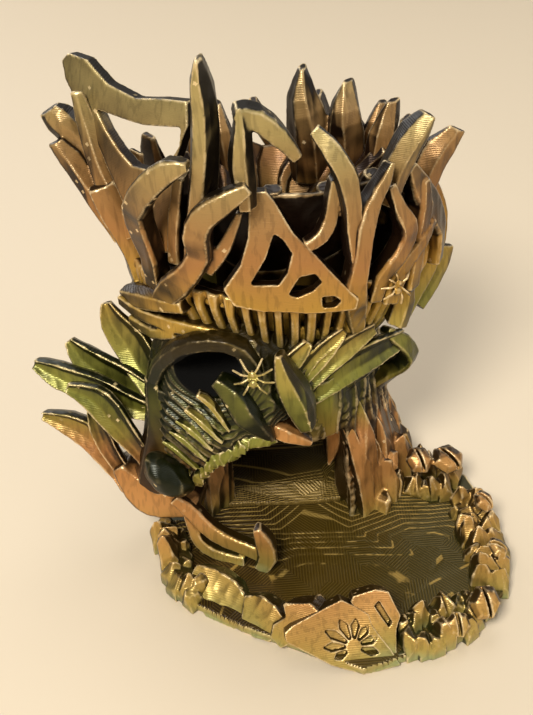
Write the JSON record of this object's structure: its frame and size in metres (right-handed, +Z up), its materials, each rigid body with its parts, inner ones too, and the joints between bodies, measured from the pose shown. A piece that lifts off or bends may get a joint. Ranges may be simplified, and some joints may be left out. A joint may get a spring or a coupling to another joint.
{
  "type": "dice tower",
  "caption": "Free-standing dice tower with a flared crown of roots around a funnel, a horned beast skull over the mouth and a rock-rimmed tray with mushrooms.",
  "frame": {"origin": "on the table, under the axis of the drop tube", "axes": "+Z up, -Y out over the tray towards the player, +X to the right as the player sees it, so that the skull is at -X"},
  "size_m": [0.179, 0.1602, 0.2066],
  "materials": {
    "silk_gold": "silk filament, gold to pale green at the table, fine horizontal layer lines",
    "silk_copper": "silk filament, copper brown, dark on side faces",
    "silk_green": "silk filament, olive to yellow green",
    "silk_bronze": "silk filament, gold through copper to olive bronze at the tips, dark brown on side faces"
  },
  "bodies": {
    "root": {"arm_left": "silk_bronze", "back_ribs": "silk_bronze", "back_spikes": "silk_bronze", "baffle_lower": "silk_copper", "baffle_upper": "silk_copper", "beak": "silk_copper", "cheek_bone": "silk_green", "chin_boss": "silk_green", "claw_left": "silk_bronze", "columns_back": "silk_copper", "columns_left": "silk_copper", "columns_right": "silk_copper", "crown_bowl": "silk_bronze", "curl_leaf": "silk_green", "drop_tube": "silk_copper", "edge_rib_left": "silk_bronze", "exit_ramp": "silk_copper", "eye_ridges": "silk_green", "frill_horn_1": "silk_green", "frill_horn_2": "silk_green", "frill_horn_3": "silk_green", "frill_horn_4": "silk_green", "frill_horn_5": "silk_green", "frill_horn_6": "silk_green", "front_fork": "silk_bronze", "funnel": "silk_bronze", "gills": "silk_bronze", "hanging_tooth": "silk_copper", "hood_ledge": "silk_green", "inner_roots": "silk_bronze", "jaw_bars": "silk_copper", "jaw_hinge": "silk_copper", "leaf_long": "silk_green", "leaves_left": "silk_bronze", "lip_roots": "silk_bronze", "mushroom_cap_front": "silk_gold", "mushroom_cap_spider": "silk_gold", "neck_boss": "silk_green", "nose_bud": "silk_green", "nose_horn": "silk_green", "right_outer_rib": "silk_bronze", "right_ribbons": "silk_bronze", "right_side_spikes": "silk_bronze", "right_spike": "silk_bronze", "rim_mushrooms": "silk_gold", "rim_slabs": "silk_gold", "rim_stones_front": "silk_gold", "rim_stones_left": "silk_gold", "rim_stones_right": "silk_gold", "root_panel": "silk_bronze", "s_ribbon": "silk_bronze", "sail_plate": "silk_bronze", "skull_mask": "silk_green", "spider_crown": "silk_bronze", "spider_skull": "silk_green", "tall_spike": "silk_bronze", "tray_base": "silk_gold", "trunk_shell": "silk_copper", "upper_teeth": "silk_green", "v_blades": "silk_bronze"}
  },
  "joints": []
}
